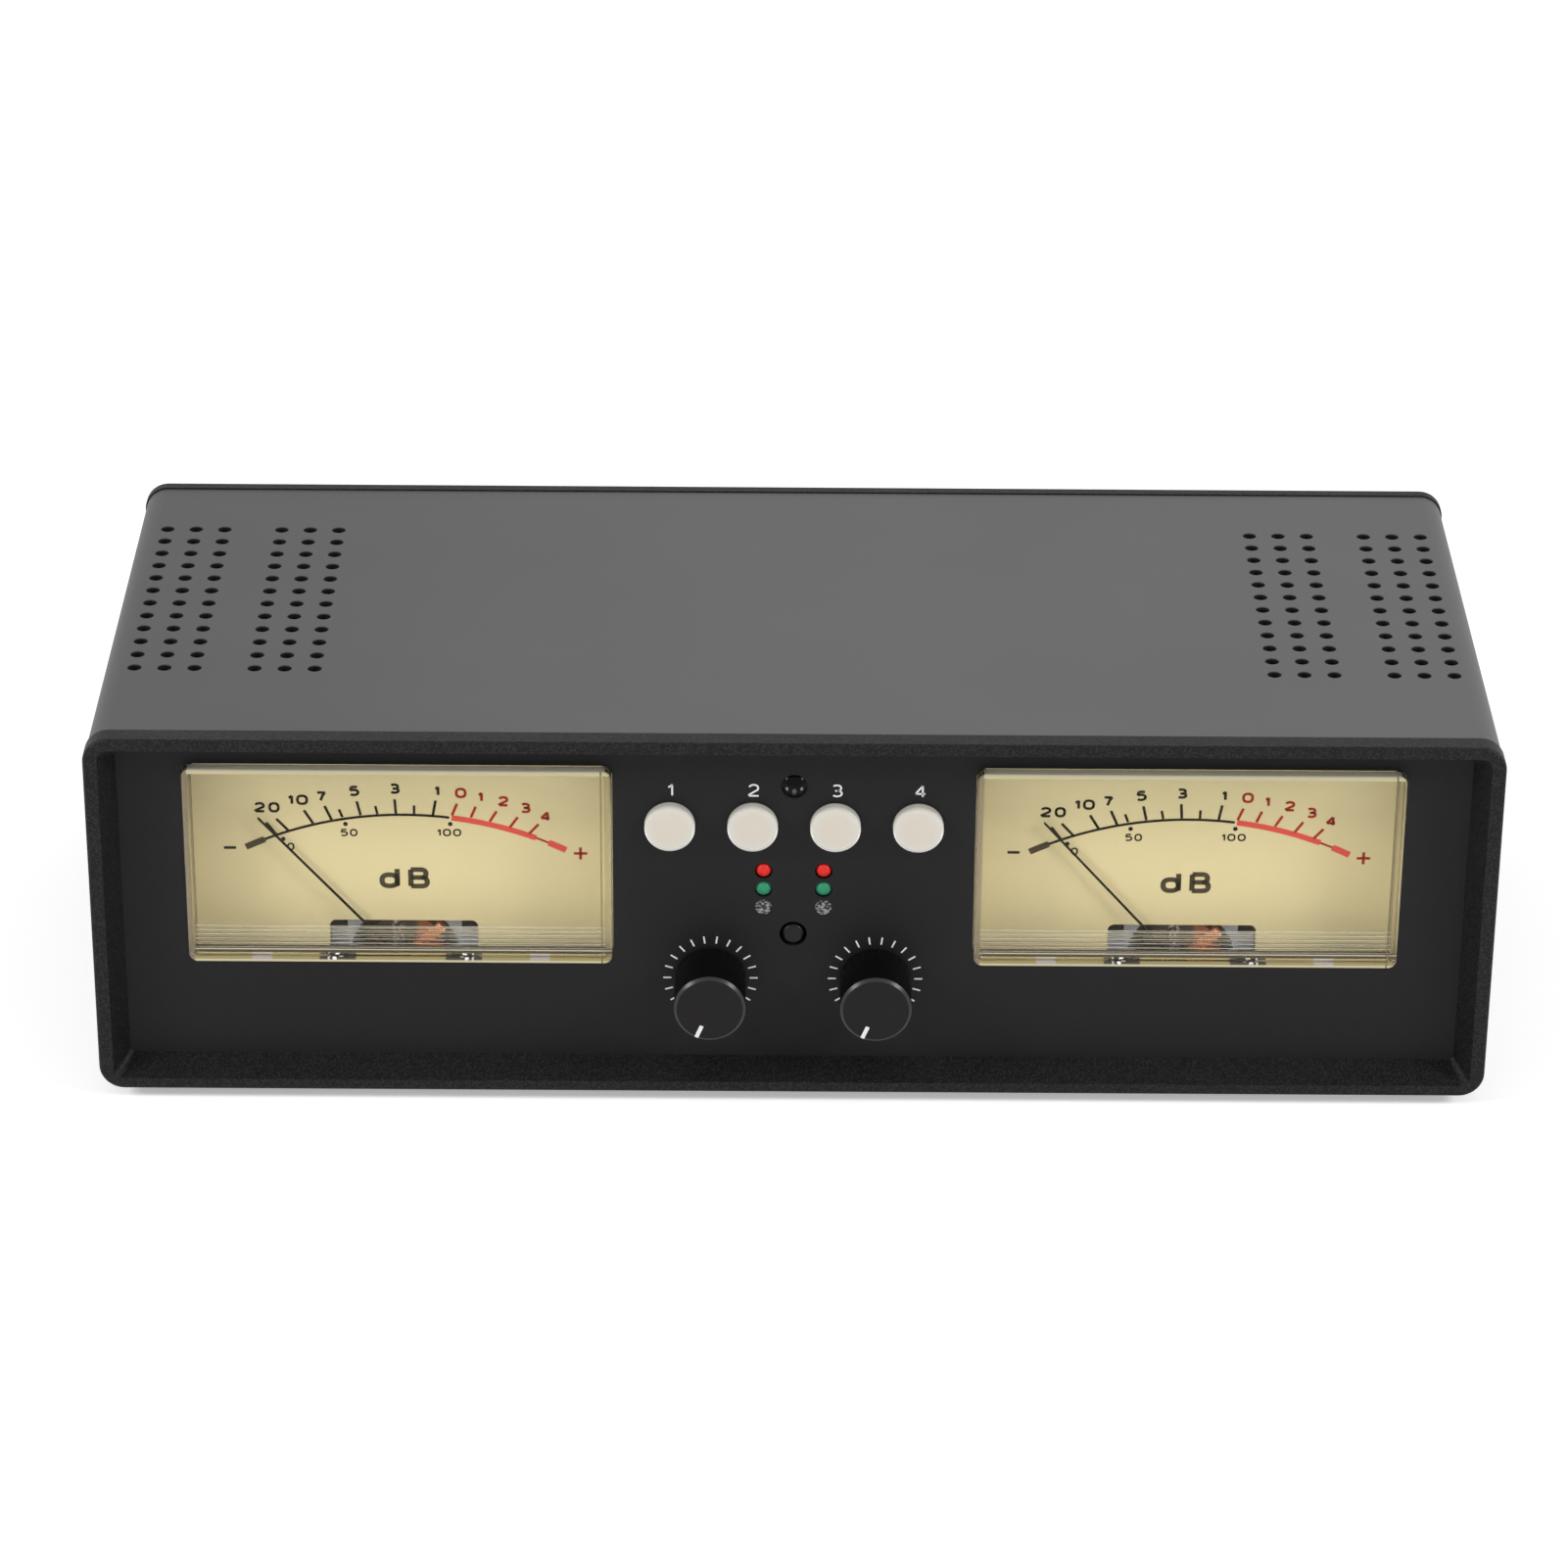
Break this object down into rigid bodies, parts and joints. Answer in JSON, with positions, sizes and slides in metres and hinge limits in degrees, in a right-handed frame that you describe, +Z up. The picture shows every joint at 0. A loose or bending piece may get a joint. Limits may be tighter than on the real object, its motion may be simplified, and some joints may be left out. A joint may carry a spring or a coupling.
{
  "type": "level meter",
  "caption": "Low vented desk case with two needle level meters behind clear lenses, selector buttons, status lamps, level knobs and phono sockets at the rear.",
  "frame": {"origin": "on the standing surface, under the middle of the whole object", "axes": "+X to the right seen from the front, +Y from the front to the back, +Z up"},
  "size_m": [0.25, 0.1238, 0.0726],
  "materials": {
    "frame_coat": "fine textured coat",
    "panel_coat": "matte coat",
    "sleeve_coat": "smooth matte coat",
    "screw_steel": "zinc plated",
    "foot_rubber": "matte",
    "clear_lens": "clear acrylic",
    "housing_plastic": "satin",
    "dial_paint": "cream print",
    "needle_coat": "black coat",
    "coil_copper": "varnished copper wire",
    "staff_steel": "polished",
    "magnet_alloy": "ground",
    "yoke_steel": "nickel plated",
    "bridge_alloy": "satin",
    "spring_bronze": "bright",
    "jewel_brass": "turned",
    "strip_white": "white lacquer",
    "lead_cover": "grey insulation",
    "switch_body": "matte",
    "mode_plastic": "satin",
    "eye_plastic": "dark, glossy",
    "lamp_red": "tinted, clear",
    "lamp_green": "tinted, clear",
    "mic_gauze": "grey gauze",
    "knob_plastic": "satin black",
    "shaft_alloy": "turned",
    "pot_body": "matte",
    "board_green": "lacquered",
    "standoff_brass": "turned",
    "block_plastic": "black",
    "socket_plating": "plated",
    "capacitor_sleeve": "dark sleeve",
    "cap_cream": "translucent, soft sheen"
  },
  "bodies": {
    "case": {"front_frame": "frame_coat", "rear_frame": "frame_coat", "front_panel": "panel_coat", "rear_panel": "panel_coat", "case_sleeve": "sleeve_coat", "case_screws": "screw_steel", "rubber_feet": "foot_rubber", "left_meter_lens": "clear_lens", "right_meter_lens": "clear_lens", "left_meter_housing": "housing_plastic", "right_meter_housing": "housing_plastic", "left_dial_plate": "dial_paint", "right_dial_plate": "dial_paint", "left_magnet": "magnet_alloy", "right_magnet": "magnet_alloy", "left_yoke": "yoke_steel", "right_yoke": "yoke_steel", "left_bridge": "bridge_alloy", "right_bridge": "bridge_alloy", "left_hairsprings": "spring_bronze", "right_hairsprings": "spring_bronze", "movement_screws": "screw_steel", "jewel_screws": "jewel_brass", "backlights": "strip_white", "meter_leads": "lead_cover", "push_switches": "switch_body", "infrared_eye": "eye_plastic", "red_lamps": "lamp_red", "green_lamps": "lamp_green", "microphones": "mic_gauze", "left_level_pot": "pot_body", "right_level_pot": "pot_body", "pot_nuts": "screw_steel", "control_board": "board_green", "main_board": "board_green", "board_standoffs": "standoff_brass", "board_screws": "screw_steel", "phono_blocks": "block_plastic", "phono_sockets": "socket_plating", "power_socket": "block_plastic", "board_capacitors": "capacitor_sleeve"},
    "left_needle_body": {"left_needle": "needle_coat", "left_moving_coil": "coil_copper", "left_pivot_staffs": "staff_steel"},
    "left_knob_body": {"left_knob": "knob_plastic", "left_knob_shaft": "shaft_alloy"},
    "right_needle_body": {"right_needle": "needle_coat", "right_moving_coil": "coil_copper", "right_pivot_staffs": "staff_steel"},
    "right_knob_body": {"right_knob": "knob_plastic", "right_knob_shaft": "shaft_alloy"},
    "button_1": {"button_cap_1": "cap_cream", "switch_plunger_1": "switch_body"},
    "button_2": {"button_cap_2": "cap_cream", "switch_plunger_2": "switch_body"},
    "button_3": {"button_cap_3": "cap_cream", "switch_plunger_3": "switch_body"},
    "button_4": {"button_cap_4": "cap_cream", "switch_plunger_4": "switch_body"},
    "mode": {"mode_button": "mode_plastic"}
  },
  "joints": [
    {"name": "left_needle_swing", "type": "hinge", "parent": "case", "child": "left_needle_body", "pos_m": [-0.07025, -0.0429, 0.0224], "axis": [0, 1, 0], "range_deg": [0, 88], "stiffness_Nm_per_rad": 0.00002},
    {"name": "right_needle_swing", "type": "hinge", "parent": "case", "child": "right_needle_body", "pos_m": [0.07025, -0.0429, 0.0224], "axis": [0, 1, 0], "range_deg": [0, 88], "stiffness_Nm_per_rad": 0.00002},
    {"name": "left_knob_turn", "type": "hinge", "parent": "case", "child": "left_knob_body", "pos_m": [-0.0148, -0.0553, 0.023], "axis": [0, 1, 0], "range_deg": [0, 300]},
    {"name": "right_knob_turn", "type": "hinge", "parent": "case", "child": "right_knob_body", "pos_m": [0.0148, -0.0553, 0.023], "axis": [0, 1, 0], "range_deg": [0, 300]},
    {"name": "button_1_press", "type": "slide", "parent": "case", "child": "button_1", "axis": [0, 1, 0], "range_m": [0, 0.0008], "stiffness_N_per_m": 1000},
    {"name": "button_2_press", "type": "slide", "parent": "case", "child": "button_2", "axis": [0, 1, 0], "range_m": [0, 0.0008], "stiffness_N_per_m": 1000},
    {"name": "button_3_press", "type": "slide", "parent": "case", "child": "button_3", "axis": [0, 1, 0], "range_m": [0, 0.0008], "stiffness_N_per_m": 1000},
    {"name": "button_4_press", "type": "slide", "parent": "case", "child": "button_4", "axis": [0, 1, 0], "range_m": [0, 0.0008], "stiffness_N_per_m": 1000},
    {"name": "mode_press", "type": "slide", "parent": "case", "child": "mode", "axis": [0, 1, 0], "range_m": [0, 0.0005], "stiffness_N_per_m": 800}
  ]
}
